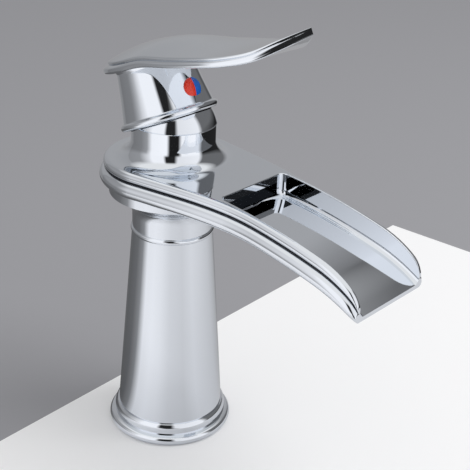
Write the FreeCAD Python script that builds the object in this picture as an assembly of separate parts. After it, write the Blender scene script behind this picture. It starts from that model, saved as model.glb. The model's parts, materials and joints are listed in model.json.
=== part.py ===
import FreeCAD, Part
import math
import os

from FreeCAD import Placement, Rotation, Vector

# Single-lever waterfall basin faucet, in millimetres.
# Origin: on the column's axis at the deck plane. +Z up, +X along the spout, hot side +Y.

# deck base
base_r = 32.0
base_h = 10.7
base_bead_h = 4.4
base_bead_bulge = 1.2
base_groove_depth = 2.9
base_groove_round = 0.3
base_top_in = 4.2
base_top_round = 1.6
base_top_taper = 0.25
base_seal_w = 2.6
base_seal_depth = 1.5
base_wall = 6.0

# column
column_step = 1.2
column_spigot_gap = 1.5
column_top_r = 20.2
column_h = 98.9
column_wall = 3.0
web_h = 7.0
hose_way_r = 13.0
hose_way_x = 5.5
hose_clear = 0.6

# trim ring between column and neck
trim_h = 2.7
trim_bulge = 0.6

# spout body: neck, plate, trough and bell
neck_r = 20.0
neck_spigot_h = 9.6
neck_spigot_step = 2.3
neck_seat_room = 2.0
o_ring_w = 2.4
o_ring_depth = 1.3
o_ring_drop = 5.8
neck_straight_h = 6.7
flare_r = 9.3
flare_angle = 58.0
flare_edge_r = 31.3
fuse_overlap = 1.0
plate_rise = 37.0
plate_depth = 13.0
plate_back_r = 31.0
side_angle = 8.5
side_blend_r = 150.0
upper_bead_r = 2.5
upper_bead_out = 0.4
lower_bead_r = 4.0
lower_bead_out = 0.8
groove_out = 2.4
bell_r = 20.7
bell_rise = 17.2
bell_fillet_r = 8.5

# waterfall trough
trough_half_w = 22.0
trough_start_x = 50.5
trough_depth = 11.0
trough_corner_r = 3.0
trough_floor_r = 4.0
bend_start_x = 30.0
bend_r = 320.0
bend_end_x = 108.0
rim_round_r = 51.0
rim_round_angle = 35.0
rim_tip_r = 13.0
floor_round_r = 77.0
floor_tip_angle = 28.0
slot_half_w = 19.5
slot_widening = 16.0
slot_roof_drop = 4.2
slot_floor_step = 0.6

# waterways
inlet_x = -4.0
inlet_y = 8.5
inlet_socket_r = 4.5
inlet_socket_h = 12.0
port_r = 3.6
outlet_x = 9.0
chamber_half_w = 8.0
chamber_floor_drop = 11.0
chamber_roof_drop = 3.5
chamber_wall = 1.4

# cartridge
cartridge_r = 17.5
cartridge_gap = 0.2
well_drop = 9.8
cartridge_base_h = 3.5
port_lip = 0.4
housing_h = 17.0
housing_wall = 1.9
housing_roof_h = 2.0
housing_neck_r = 14.0
housing_neck_wall = 2.0
housing_neck_h = 8.0
disc_h = 3.0
moving_disc_r = 11.4
pocket_back = 7.0
pocket_front = 5.0
pocket_half_w = 4.0
pocket_depth = 1.8
carrier_h = 6.0
carrier_floor = 0.6
ball_gap = 0.35
film = 0.05
slip = 0.1
seal_h = 1.6
seal_wall = 1.4
pivot_h = 22.3
stem_arm = 9.0
stem_ball_r = 2.8
stem_neck_r = 2.0
stem_flat = 6.0
stem_w = 8.0
stem_roof = 4.0
stem_shoulder = 3.0
stem_slot_gap = 0.2
pin_r = 1.5
pin_len = 22.0
spindle_flange_h = 3.0
spindle_h = 10.0
spindle_slot_half = 9.0
pin_press = 0.02
nut_h = 3.5
nut_notch_w = 3.0
nut_notch_depth = 1.5

# dome cap
dome_wall = 1.5
dome_mouth_r = 16.1
dome_mouth_rim = 0.8
dome_spigot_h = 2.8
dome_seat_h = 1.5
dome_seat_step = 0.6

# handle, drawn level about the lever's pivot and then raised
lever_raise = 25.0
skirt_gap = 0.8
skirt_drop = 5.4
skirt_bead_h = 3.6
skirt_bead_r = 24.2
skirt_bead_out = 1.6
skirt_mouth_r = 22.1
skirt_mouth_h = 2.6
hub_foot_r = 22.3
hub_waist_r = 18.7
hub_neck_drop = 6.6
hub_flare_h = 5.0
hub_flare_out = 3.5
hub_hollow_in = 0.2
boss_r = 7.0
boss_foot_h = 13.0
screw_r = 2.0
screw_len = 8.0
screw_h = 16.5
screw_web = 2.5
screw_wall = 1.2
screw_socket_r = 1.0
screw_socket_h = 2.5
plug_r = 5.0
plug_depth = 2.2
plug_crown = 1.3
plug_ball_r = 11.3
lever_h = 37.6
lever_layer_h = 1.4
lever_band_h = 3.6
lever_band_out = 1.1
lever_band_back = 4.0
lever_back_x = -20.9
lever_wide_x = 12.5
lever_half_w = 26.0
lever_tip_x = 98.7
# along the lever: share of its length, rise of the edge over lever_h, crown over the edge, thickness share
lever_line_share = (-0.05, 0.14, 0.32, 0.48, 0.65, 0.73, 0.82, 0.91, 1.05)
lever_rise = (-2.6, -0.6, -0.8, -5.5, -10.4, -12.6, -13.9, -12.7, -10.7)
lever_crown = (3.6, 6.0, 4.8, 2.9, 1.0, 0.95, 0.8, 0.5, 0.35)
lever_thick_share = (1.0, 1.0, 1.0, 1.0, 0.9, 0.9, 0.9, 0.85, 0.6)
# from the lever's widest place to its tip: share of that length, share of the half width
lever_leaf_share = (
    (0.0, 1.0),
    (0.28, 0.98),
    (0.51, 0.923),
    (0.625, 0.83),
    (0.75, 0.65),
    (0.875, 0.37),
    (0.985, 0.06),
)

# fixing set under the deck
stud_r = 3.0
stud_x = -13.5
stud_drop = 58.0
deck_h = 18.0
washer_r = 23.0
rubber_washer_h = 3.0
metal_washer_h = 2.0
nut_flats = 10.0
fixing_nut_h = 5.0
stud_gap = 0.3

# sizes and heights that follow from those above
column_spigot_r = base_r - base_wall
column_foot_r = column_spigot_r + column_step
base_top_r = base_r - base_top_in
trim_z = base_h + column_h
neck_z = trim_z + trim_h
plate_z = neck_z + plate_rise
bell_z = plate_z + bell_rise
well_z = plate_z - well_drop
pivot_z = well_z + pivot_h
dome_r = math.hypot(bell_r, bell_z - pivot_z)
spigot_bore_r = neck_r - neck_spigot_step
hub_waist_h = lever_h - hub_neck_drop
stem_h = lever_h - lever_layer_h - lever_band_h - stem_roof


def at(point, y=0.0):
    return Vector(point[0], y, point[1])


def outline(start, *steps):
    """A closed wire in the XZ plane. A step is a point, or (middle, end) of an arc."""
    edges = []
    here = start
    for step in steps + (start,):
        if isinstance(step[0], tuple):
            middle, end = step
            edges.append(Part.Arc(at(here), at(middle), at(end)).toShape())
        else:
            end = step
            edges.append(Part.makeLine(at(here), at(end)))
        here = end
    return Part.Wire(edges)


def turned(start, *steps):
    face = Part.Face(outline(start, *steps))
    return face.revolve(Vector(), Vector(0, 0, 1), 360)


def across(half_w, start, *steps):
    """A slab of half width half_w each side of the XZ plane."""
    face = Part.Face(outline(start, *steps))
    face.translate(Vector(0, -half_w, 0))
    return face.extrude(Vector(0, 2 * half_w, 0))


def rod(radius, low, high, x=0.0, y=0.0):
    return Part.makeCylinder(radius, high - low, Vector(x, y, low))


def tube(outer, inner, low, high):
    return rod(outer, low, high).cut(rod(inner, low, high))


def block(low, high):
    size = [b - a for a, b in zip(low, high)]
    return Part.makeBox(*size, Vector(*low))


def joined(shapes):
    first, *rest = shapes
    return first.fuse(rest).removeSplitter()


def base_flange():
    bore_r = column_spigot_r + slip
    groove_r = base_r - base_groove_depth
    step_z = base_h - base_bead_h
    ring = turned(
        (bore_r, 0),
        (base_r - base_bead_bulge, 0),
        ((base_r, base_bead_h / 2), (base_r - base_bead_bulge, base_bead_h)),
        (groove_r, base_bead_h + base_groove_round),
        (groove_r, step_z + base_groove_round),
        ((groove_r - base_top_taper, base_h - base_top_round), (base_top_r, base_h)),
        (bore_r, base_h),
    )
    return ring.cut(base_seal())


def base_seal():
    outer = base_r - base_groove_depth
    return tube(outer, outer - base_seal_w, 0, base_seal_depth)


def column():
    inner_foot = column_spigot_r - column_wall
    seat_z = trim_z - neck_spigot_h - neck_seat_room
    shell = turned(
        (inner_foot, column_spigot_gap),
        (column_spigot_r, column_spigot_gap),
        (column_spigot_r, base_h),
        (column_foot_r, base_h),
        (column_top_r, trim_z),
        (spigot_bore_r, trim_z),
        (spigot_bore_r, seat_z),
        (inner_foot, base_h + column_wall),
    )
    web = rod(inner_foot, column_spigot_gap, column_spigot_gap + web_h)
    body = joined([shell, web])
    body = body.cut(rod(hose_way_r, 0, base_h, hose_way_x))
    for side in (1, -1):
        body = body.cut(rod(inlet_socket_r + hose_clear, 0, base_h, inlet_x, side * inlet_y))
    return body.cut(rod(stud_r, 0, base_h, stud_x))


def spigot_r():
    return spigot_bore_r - slip


def trim_ring():
    middle = trim_z + trim_h / 2
    bulge_r = column_top_r + trim_bulge
    return turned(
        (spigot_bore_r, trim_z),
        (column_top_r, trim_z),
        ((bulge_r, middle), (column_top_r, neck_z)),
        (spigot_bore_r, neck_z),
    )


def neck_ring_groove():
    low = trim_z - o_ring_drop
    return tube(spigot_bore_r, spigot_r() - o_ring_depth, low, low + o_ring_w)


def neck_ring():
    low = trim_z - o_ring_drop
    return tube(spigot_bore_r - film, spigot_r() - o_ring_depth, low + slip, low + o_ring_w - slip)


def blend_end():
    """Where the trough's sides become parallel."""
    a = math.radians(side_angle)
    blend_y = trough_half_w + side_blend_r * (1 - math.cos(a))
    blend_x = plate_back_r * math.sin(a) + (plate_back_r * math.cos(a) - blend_y) / math.tan(a)
    return blend_x + side_blend_r * math.sin(a)


def half_width(x):
    """Half width of the flat top in front of the axis: round shoulder, slanted side, blend."""
    a = math.radians(side_angle)
    straight_x = blend_end()
    if x < plate_back_r * math.sin(a):
        return math.sqrt(plate_back_r**2 - x**2)
    if x > straight_x:
        return trough_half_w
    if x > straight_x - side_blend_r * math.sin(a):
        centre_y = trough_half_w + side_blend_r
        return centre_y - math.sqrt(side_blend_r**2 - (straight_x - x) ** 2)
    return plate_back_r * math.cos(a) - (x - plate_back_r * math.sin(a)) * math.tan(a)


def bend_angle():
    return math.asin((bend_end_x - bend_start_x) / bend_r)


def arc_point(start, radius, heading, angle):
    """Point on an arc that leaves start at heading below level and has turned down to angle."""
    x = start[0] + radius * (math.sin(angle) - math.sin(heading))
    z = start[1] - radius * (math.cos(heading) - math.cos(angle))
    return (x, z)


def bend_end(drop):
    return arc_point((bend_start_x, plate_z - drop), bend_r, 0.0, bend_angle())


def rim_knee():
    return arc_point(bend_end(0), rim_round_r, bend_angle(), math.radians(rim_round_angle))


def rim_end():
    return arc_point(rim_knee(), rim_tip_r, math.radians(rim_round_angle), math.pi / 2)


def floor_knee(drop):
    return arc_point(bend_end(drop), floor_round_r, bend_angle(), math.radians(floor_tip_angle))


def floor_end(drop, x):
    knee = floor_knee(drop)
    return (x, knee[1] - (x - knee[0]) * math.tan(math.radians(floor_tip_angle)))


def floor_curve(drop, front):
    """Steps of a floor line from the front back to the plate."""
    knee = floor_knee(drop)
    end = bend_end(drop)
    heading = bend_angle()
    middle_angle = (heading + math.radians(floor_tip_angle)) / 2
    start = (bend_start_x, plate_z - drop)
    return [
        floor_end(drop, front),
        knee,
        (arc_point(end, floor_round_r, heading, middle_angle), end),
        (arc_point(start, bend_r, 0.0, heading / 2), start),
    ]


def arc_drop(x, start, radius, heading):
    """Height at x on an arc that leaves start at heading below level."""
    turn = math.asin(math.sin(heading) + (x - start[0]) / radius)
    return start[1] - radius * (math.cos(heading) - math.cos(turn))


def rim_z(x):
    if x <= bend_start_x:
        return plate_z
    if x <= bend_end_x:
        return arc_drop(x, (bend_start_x, plate_z), bend_r, 0.0)
    knee = rim_knee()
    if x <= knee[0]:
        return arc_drop(x, bend_end(0), rim_round_r, bend_angle())
    return arc_drop(x, knee, rim_tip_r, math.radians(rim_round_angle))


def under_z(x, drop):
    """Height at x of a floor line that lies drop below the plate's top."""
    if x <= bend_start_x:
        return plate_z - drop
    if x <= bend_end_x:
        return arc_drop(x, (bend_start_x, plate_z - drop), bend_r, 0.0)
    if x <= floor_knee(drop)[0]:
        return arc_drop(x, bend_end(drop), floor_round_r, bend_angle())
    return floor_end(drop, x)[1]


def side_edges(x, side):
    """Edges down one side of the spout at x: upper bead, groove, lower bead."""
    top = rim_z(x)
    low = under_z(x, plate_depth)
    size = (top - low) / plate_depth
    upper_r = upper_bead_r * size
    lower_r = (top - low) / 2 - upper_r
    upper_y = half_width(x) + upper_bead_out * size
    lower_y = half_width(x) + lower_bead_out * size
    groove_y = half_width(x) + groove_out * size
    upper_z = top - upper_r
    lower_z = low + lower_r
    dip = upper_z - math.sqrt(upper_r**2 - (groove_y - upper_y) ** 2)
    rise = lower_z + math.sqrt(lower_r**2 - (groove_y - lower_y) ** 2)
    rim = at((x, top), side * upper_y)
    crest = at((x, upper_z), side * (upper_y + upper_r))
    groove_top = at((x, dip), side * groove_y)
    groove_foot = at((x, rise), side * groove_y)
    belly = at((x, lower_z), side * (lower_y + lower_r))
    foot = at((x, low), side * lower_y)
    edges = [Part.Arc(rim, crest, groove_top).toShape(), Part.makeLine(groove_top, groove_foot)]
    edges.append(Part.Arc(groove_foot, belly, foot).toShape())
    return rim, foot, edges


def spout_section(x):
    left_rim, left_foot, left = side_edges(x, 1)
    right_rim, right_foot, right = side_edges(x, -1)
    top = Part.makeLine(right_rim, left_rim)
    bottom = Part.makeLine(left_foot, right_foot)
    return Part.Wire(Part.__sortEdges__([top, *left, bottom, *right]))


def spout_sections():
    places = [0.0, 0.05, 0.13, 0.24, 0.35, 0.46, 0.57, 0.69, 0.83, 1.0]
    along = [bend_end_x * place for place in places]
    tip_x = rim_end()[0]
    along += [bend_end_x + (tip_x - bend_end_x) * s for s in (0.3, 0.55, 0.75, 0.9, 0.985)]
    return along


def spout_front():
    return Part.makeLoft([spout_section(x) for x in spout_sections()], True, False)


def spout_back():
    """The plate's round back: the section at the axis, turned half round."""
    rim, foot, edges = side_edges(0.0, 1)
    low = Vector(0, 0, foot.z)
    high = Vector(0, 0, rim.z)
    wire = Part.Wire(
        Part.__sortEdges__([*edges, Part.makeLine(foot, low), Part.makeLine(low, high), Part.makeLine(high, rim)])
    )
    return Part.Face(wire).revolve(Vector(), Vector(0, 0, 1), 180)


def neck_flare():
    """The neck and the cove that widens it towards the plate's underside."""
    turn = math.radians(flare_angle)
    start = (neck_r, neck_z + neck_straight_h)
    middle = (neck_r + flare_r * (1 - math.cos(turn / 2)), start[1] + flare_r * math.sin(turn / 2))
    end = (neck_r + flare_r * (1 - math.cos(turn)), start[1] + flare_r * math.sin(turn))
    edge = (flare_edge_r, end[1] + (flare_edge_r - end[0]) / math.tan(turn))
    top_z = plate_z - plate_depth + fuse_overlap
    return turned((0, neck_z), (neck_r, neck_z), start, (middle, end), edge, (flare_edge_r, top_z), (0, top_z))


def bell():
    foot_r = bell_r + bell_fillet_r
    corner = bell_fillet_r * (1 - math.sqrt(0.5))
    return turned(
        (0, plate_z - fuse_overlap),
        (foot_r, plate_z - fuse_overlap),
        (foot_r, plate_z),
        ((bell_r + corner, plate_z + corner), (bell_r, plate_z + bell_fillet_r)),
        (bell_r, bell_z),
        (0, bell_z),
    )


def trough():
    """The water's open channel, with a rounded floor and back corners."""
    front = rim_end()[0] + trough_half_w
    top_z = plate_z + trough_depth
    steps = floor_curve(trough_depth, front)
    heading = math.asin((trough_start_x - bend_start_x) / bend_r)
    floor_start = (bend_start_x, plate_z - trough_depth)
    middle = arc_point(floor_start, bend_r, 0.0, (heading + bend_angle()) / 2)
    steps[-1] = (middle, arc_point(floor_start, bend_r, 0.0, heading))
    tool = across(trough_half_w, (trough_start_x, top_z), (front, top_z), *steps)
    tool = tool.makeFillet(trough_floor_r, [e for e in tool.Edges if is_floor_edge(e.BoundBox)])
    return tool.makeFillet(trough_corner_r, [e for e in tool.Edges if is_back_corner(e.BoundBox)])


def is_floor_edge(box):
    low = box.ZMax < plate_z - trough_depth + fuse_overlap
    return low and box.YLength < slip and box.XLength > fuse_overlap


def is_back_corner(box):
    return box.XLength < slip and box.YLength < slip and abs(box.XMin - trough_start_x) < slip


def water_channel():
    """From the chamber under the cartridge up into the plate and out of the slot."""
    wall_z = rim_z(trough_start_x)
    roof = wall_z - slot_roof_drop
    floor = wall_z - trough_depth + slot_floor_step
    wall_x = bell_r + slip
    wide_x = wall_x + slot_widening
    mouth_x = trough_start_x + fuse_overlap
    half = [(wall_x, chamber_half_w), (wide_x, slot_half_w), (mouth_x, slot_half_w)]
    points = [Vector(x, -y, floor) for x, y in half]
    points += [Vector(x, y, floor) for x, y in reversed(half)]
    channel = Part.Face(Part.makePolygon([*points, points[0]])).extrude(Vector(0, 0, roof - floor))
    low = well_z - chamber_floor_drop
    high = well_z - chamber_roof_drop
    back = outlet_x - port_r - chamber_wall
    front = wall_x + chamber_half_w
    riser = across(
        chamber_half_w,
        (back, low),
        (outlet_x + port_r + chamber_wall, low),
        (front, floor),
        (front, roof - fuse_overlap),
        (wall_x, roof - fuse_overlap),
        (wall_x, high),
        (back, high),
    )
    outlet = rod(port_r, low + fuse_overlap, well_z, outlet_x)
    return joined([channel, riser, outlet])


def inlet_way(side):
    mouth_z = trim_z - neck_spigot_h
    socket = rod(inlet_socket_r, mouth_z, mouth_z + inlet_socket_h, inlet_x, side * inlet_y)
    bore = rod(port_r, mouth_z, well_z, inlet_x, side * inlet_y)
    return joined([socket, bore])


def spout_body():
    spigot = rod(spigot_r(), trim_z - neck_spigot_h, neck_z + fuse_overlap)
    body = joined([spout_front(), spout_back()])
    for piece in (neck_flare(), bell(), spigot):
        body = body.fuse(piece)
    body = body.cut(trough())
    body = body.cut(rod(cartridge_r + cartridge_gap, well_z, bell_z))
    body = body.cut(water_channel())
    for side in (1, -1):
        body = body.cut(inlet_way(side))
    return body.cut(neck_ring_groove())


def port_places():
    return [(inlet_x, inlet_y), (inlet_x, -inlet_y), (outlet_x, 0.0)]


def ports(radius, low, high):
    return [rod(radius, low, high, x, y) for x, y in port_places()]


def cartridge_seals():
    rings = []
    for x, y in port_places():
        outer = rod(port_r + seal_wall, well_z, well_z + seal_h, x, y)
        rings.append(outer.cut(rod(port_r, well_z, well_z + seal_h, x, y)))
    return Part.makeCompound(rings)


def cartridge_base():
    plate = rod(cartridge_r, well_z, well_z + cartridge_base_h)
    plate = plate.cut(ports(port_r - port_lip, well_z, well_z + cartridge_base_h))
    return plate.cut(ports(port_r + seal_wall, well_z, well_z + seal_h))


def housing_z():
    return well_z + cartridge_base_h


def cartridge_housing():
    low = housing_z()
    shoulder = low + housing_h
    roof = shoulder - housing_roof_h
    inner = cartridge_r - housing_wall
    neck_inner = housing_neck_r - housing_neck_wall
    return turned(
        (inner, low),
        (cartridge_r, low),
        (cartridge_r, shoulder),
        (housing_neck_r, shoulder),
        (housing_neck_r, shoulder + housing_neck_h),
        (neck_inner, shoulder + housing_neck_h),
        (neck_inner, roof),
        (inner, roof),
    )


def fixed_disc():
    low = housing_z()
    disc = rod(cartridge_r - housing_wall - slip, low, low + disc_h)
    return disc.cut(ports(port_r - port_lip, low, low + disc_h))


def disc_travel():
    return stem_arm * math.sin(math.radians(lever_raise))


def moving_disc():
    low = housing_z() + disc_h + film
    x = disc_travel()
    disc = rod(moving_disc_r, low, low + disc_h, x)
    pocket = block((x - pocket_back, -pocket_half_w, low), (x + pocket_front, pocket_half_w, low + pocket_depth))
    return disc.cut(pocket)


def carrier_z():
    return housing_z() + 2 * disc_h + film


def disc_carrier():
    low = carrier_z()
    x = disc_travel()
    carrier = rod(moving_disc_r, low, low + carrier_h, x)
    return carrier.cut(rod(stem_ball_r + ball_gap, low + carrier_floor, low + carrier_h, x))


def spindle():
    low = carrier_z() + carrier_h + film
    flange_r = cartridge_r - housing_wall - slip * 2
    top = low + spindle_flange_h + spindle_h
    flange_top = min(low + spindle_flange_h, housing_z() + housing_h - housing_roof_h - slip)
    flange = rod(flange_r, low, flange_top)
    body = rod(housing_neck_r - housing_neck_wall - slip, low, top)
    spindle_solid = joined([flange, body])
    half = stem_flat / 2 + stem_slot_gap
    slot = block((-spindle_slot_half, -half, low), (spindle_slot_half, half, top))
    spindle_solid = spindle_solid.cut(slot)
    return spindle_solid.cut(pin_rod(pin_r + pin_press))


def pin_rod(radius):
    return Part.makeCylinder(radius, pin_len, Vector(0, -pin_len / 2, pivot_z), Vector(0, 1, 0))


def pivot_pin():
    return pin_rod(pin_r)


def cartridge_nut():
    low = housing_z() + housing_h
    ring = tube(cartridge_r + cartridge_gap - film, housing_neck_r + slip, low, low + nut_h)
    for turn in range(4):
        notch = block(
            (housing_neck_r - slip, -nut_notch_w / 2, low + nut_h - nut_notch_depth),
            (cartridge_r + cartridge_gap, nut_notch_w / 2, low + nut_h),
        )
        notch.rotate(Vector(), Vector(0, 0, 1), 45 + 90 * turn)
        ring = ring.cut(notch)
    return ring


def dome_cap():
    mouth_z = math.sqrt(dome_r**2 - dome_mouth_r**2)
    centre = Vector(0, 0, pivot_z)
    ball = Part.makeSphere(dome_r, centre).cut(Part.makeSphere(dome_r - dome_wall, centre))
    shell = ball.common(rod(dome_r + slip, bell_z, pivot_z + mouth_z))
    shell = shell.cut(rod(dome_mouth_r - dome_mouth_rim, bell_z, pivot_z + mouth_z))
    outer = cartridge_r + cartridge_gap - film
    collar = tube(outer, outer - dome_wall, bell_z - dome_spigot_h, bell_z + dome_seat_h)
    seat = tube(bell_r - dome_seat_step, outer - dome_wall, bell_z, bell_z + dome_seat_h)
    return joined([shell, collar, seat])


def raised(shape):
    """From the handle's level drawing about its pivot to its raised place."""
    shape = shape.copy()
    turn = Rotation(Vector(0, -1, 0), lever_raise)
    shape.Placement = Placement(Vector(0, 0, pivot_z), turn).multiply(shape.Placement)
    return shape


def lever_slab(top, bottom):
    """The lever's curved plate between two depths under its top, wider than its plan."""
    reach = lever_half_w * 1.3
    length = lever_tip_x - lever_back_x
    sections = []
    for share, rise, crown, thick in zip(lever_line_share, lever_rise, lever_crown, lever_thick_share):
        x = lever_back_x + length * share
        edge = lever_h + rise
        fall = crown * ((reach / lever_half_w) ** 2 - 1)
        upper, lower = [
            [Vector(x, y, edge + z - depth * thick) for y, z in ((-reach, -fall), (0, crown), (reach, -fall))]
            for depth in (top, bottom)
        ]
        edges = [Part.Arc(*upper).toShape(), Part.makeLine(upper[2], lower[2])]
        edges += [Part.Arc(*reversed(lower)).toShape(), Part.makeLine(lower[0], upper[0])]
        sections.append(Part.Wire(edges))
    return Part.makeLoft(sections, True, False)


def lever_plan(out, back_out):
    """Prism of the leaf-shaped plan of the lever: half an ellipse, then two curved sides to the tip."""
    back_len = lever_wide_x - lever_back_x + back_out
    half = lever_half_w + out
    length = lever_tip_x - lever_wide_x
    tall = lever_h * 2
    tip = Vector(lever_wide_x + length, 0, 0)
    edges = [Part.makeLine(Vector(lever_wide_x, half, 0), Vector(lever_wide_x, -half, 0))]
    for side in (1, -1):
        points = [Vector(lever_wide_x + length * s, side * half * w, 0) for s, w in lever_leaf_share]
        curve = Part.BSplineCurve()
        curve.interpolate(points)
        edges += [curve.toShape(), Part.makeLine(points[-1], tip)]
    front = Part.Face(Part.Wire(Part.__sortEdges__(edges)))
    centre = Vector(lever_wide_x, 0, 0)
    ends = sorted([Vector(-back_len, 0, 0), Vector(0, half, 0)], key=lambda end: -end.Length)
    ellipse = Part.Ellipse(centre + ends[0], centre + ends[1], centre)
    whole = Part.Face(Part.Wire(ellipse.toShape())).extrude(Vector(0, 0, tall))
    room = block((lever_wide_x - back_len - half, -2 * half, 0), (lever_wide_x, 2 * half, tall))
    return joined([whole.common(room), front.extrude(Vector(0, 0, tall))])


def hub():
    bead_mid = skirt_drop + skirt_bead_h / 2
    bead_top = skirt_drop + skirt_bead_h
    bead_r = skirt_bead_r - skirt_bead_out
    flare_z = hub_waist_h + hub_flare_h
    flare_r = hub_waist_r + hub_flare_out
    side = ((hub_foot_r + hub_waist_r) / 2 - hub_hollow_in, (bead_top + hub_waist_h) / 2)
    flare = (hub_waist_r + hub_flare_out * 0.3, hub_waist_h + hub_flare_h * 0.7)
    body = turned(
        (0, skirt_drop),
        (bead_r, skirt_drop),
        ((skirt_bead_r, bead_mid), (bead_r, bead_top)),
        (hub_foot_r, bead_top + slip),
        (side, (hub_waist_r, hub_waist_h)),
        (flare, (flare_r, flare_z)),
        (flare_r, flare_z + lever_h),
        (0, flare_z + lever_h),
    )
    return body.common(lever_slab(lever_layer_h + fuse_overlap, lever_h * 2))


def hub_hollow():
    roof = dome_r + skirt_gap
    ball = Part.makeSphere(roof)
    mouth = rod(skirt_mouth_r, -skirt_drop, skirt_drop + skirt_mouth_h)
    half = screw_r + screw_wall
    web = block((0, -half, screw_h - screw_web), (roof + skirt_drop, half, roof + skirt_drop))
    return joined([ball, mouth]).cut([rod(boss_r, boss_foot_h, roof + skirt_drop), web])


def hub_r(height):
    """The hub's outer radius at a height above the pivot."""
    low = skirt_drop + skirt_bead_h
    share = (height - low) / (hub_waist_h - low)
    return hub_foot_r + (hub_waist_r - hub_foot_r) * share


def cross_rod(radius, x0, x1, height):
    return Part.makeCylinder(radius, x1 - x0, Vector(x0, 0, height), Vector(1, 0, 0))


def stem_block(grow):
    half = stem_w / 2 + grow
    low = boss_foot_h - stem_shoulder
    return block((-half, -half, low), (half, half, stem_h + grow))


def level_handle():
    upper = lever_slab(0.0, lever_layer_h).common(lever_plan(0.0, 0.0))
    lower_plan = lever_plan(lever_band_out, lever_band_back)
    lower = lever_slab(lever_layer_h, lever_layer_h + lever_band_h).common(lower_plan)
    body = joined([upper, lower, hub()])
    body = body.cut(hub_hollow())
    body = body.cut(stem_block(slip / 2))
    outside = hub_foot_r + plug_r
    body = body.cut(cross_rod(screw_r + film, 0, outside, screw_h))
    return body.cut(cross_rod(plug_r + film, hub_r(screw_h) - plug_depth, outside, screw_h))


def lever_handle():
    return raised(level_handle())


def set_screw():
    start = stem_w / 2
    screw = cross_rod(screw_r, start, start + screw_len, screw_h)
    socket = cross_rod(screw_socket_r, start + screw_len - screw_socket_h, start + screw_len, screw_h)
    return raised(screw.cut(socket))


def index_half(side):
    """Half of the domed plug on the front of the hub."""
    seat = hub_r(screw_h) - plug_depth
    rise = hub_r(screw_h) + plug_crown
    disc = cross_rod(plug_r, seat, rise, screw_h)
    crown = Part.makeSphere(plug_ball_r, Vector(rise - plug_ball_r, 0, screw_h))
    low_y, high_y = (0.0, plug_r) if side > 0 else (-plug_r, 0.0)
    half = block((seat, low_y, screw_h - plug_r), (rise, high_y, screw_h + plug_r))
    return raised(disc.common(crown).common(half))


def lever_stem():
    flat_low = stem_ball_r + stem_flat / 4 - stem_arm
    flat_high = boss_foot_h - stem_shoulder + fuse_overlap
    flat = block((-stem_w / 2, -stem_flat / 2, flat_low), (stem_w / 2, stem_flat / 2, flat_high))
    neck = rod(stem_neck_r, -stem_arm, flat_low + fuse_overlap)
    ball = Part.makeSphere(stem_ball_r, Vector(0, 0, -stem_arm))
    stem = joined([flat, neck, ball, stem_block(0.0)])
    hole = Part.makeCylinder(pin_r + film, stem_w, Vector(0, -stem_w / 2, 0), Vector(0, 1, 0))
    return raised(stem.cut(hole))


def mounting_stud():
    return rod(stud_r - film, -stud_drop, column_spigot_gap + web_h, stud_x)


def horseshoe(low, high):
    """A washer open towards the hoses, so that it slides on under the deck."""
    slot_x = inlet_x - inlet_socket_r
    slot_half = inlet_y + inlet_socket_r
    disc = rod(washer_r, low, high)
    disc = disc.cut(block((slot_x, -slot_half, low), (washer_r, slot_half, high)))
    return disc.cut(rod(stud_r + stud_gap, low, high, stud_x))


def rubber_washer():
    return horseshoe(-deck_h - rubber_washer_h, -deck_h)


def metal_washer():
    top = -deck_h - rubber_washer_h
    return horseshoe(top - metal_washer_h, top)


def fixing_nut():
    top = -deck_h - rubber_washer_h - metal_washer_h
    corner_r = nut_flats / math.sqrt(3)
    corners = []
    for turn in range(7):
        a = math.radians(60 * turn)
        corners.append(Vector(stud_x + corner_r * math.cos(a), corner_r * math.sin(a), top - fixing_nut_h))
    hexagon = Part.Face(Part.makePolygon(corners)).extrude(Vector(0, 0, fixing_nut_h))
    return hexagon.cut(rod(stud_r, top - fixing_nut_h, top, stud_x))


parts = {
    "base_flange": base_flange(),
    "base_seal": base_seal(),
    "column": column(),
    "trim_ring": trim_ring(),
    "neck_o_ring": neck_ring(),
    "spout_body": spout_body(),
    "cartridge_seals": cartridge_seals(),
    "cartridge_base": cartridge_base(),
    "fixed_disc": fixed_disc(),
    "moving_disc": moving_disc(),
    "disc_carrier": disc_carrier(),
    "cartridge_housing": cartridge_housing(),
    "spindle": spindle(),
    "pivot_pin": pivot_pin(),
    "cartridge_nut": cartridge_nut(),
    "dome_cap": dome_cap(),
    "lever_stem": lever_stem(),
    "lever_handle": lever_handle(),
    "set_screw": set_screw(),
    "index_red": index_half(-1),
    "index_blue": index_half(1),
    "mounting_stud": mounting_stud(),
    "rubber_washer": rubber_washer(),
    "metal_washer": metal_washer(),
    "fixing_nut": fixing_nut(),
}

os.makedirs("parts", exist_ok=True)
for name, shape in parts.items():
    solids = len(shape.Solids)
    print(name, solids, "solids, valid", shape.isValid(), "volume", round(shape.Volume, 1))
    shape.exportStep(f"parts/{name}.step")
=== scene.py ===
import json
import math

import bmesh
import bpy
from mathutils import Matrix, Vector


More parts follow.
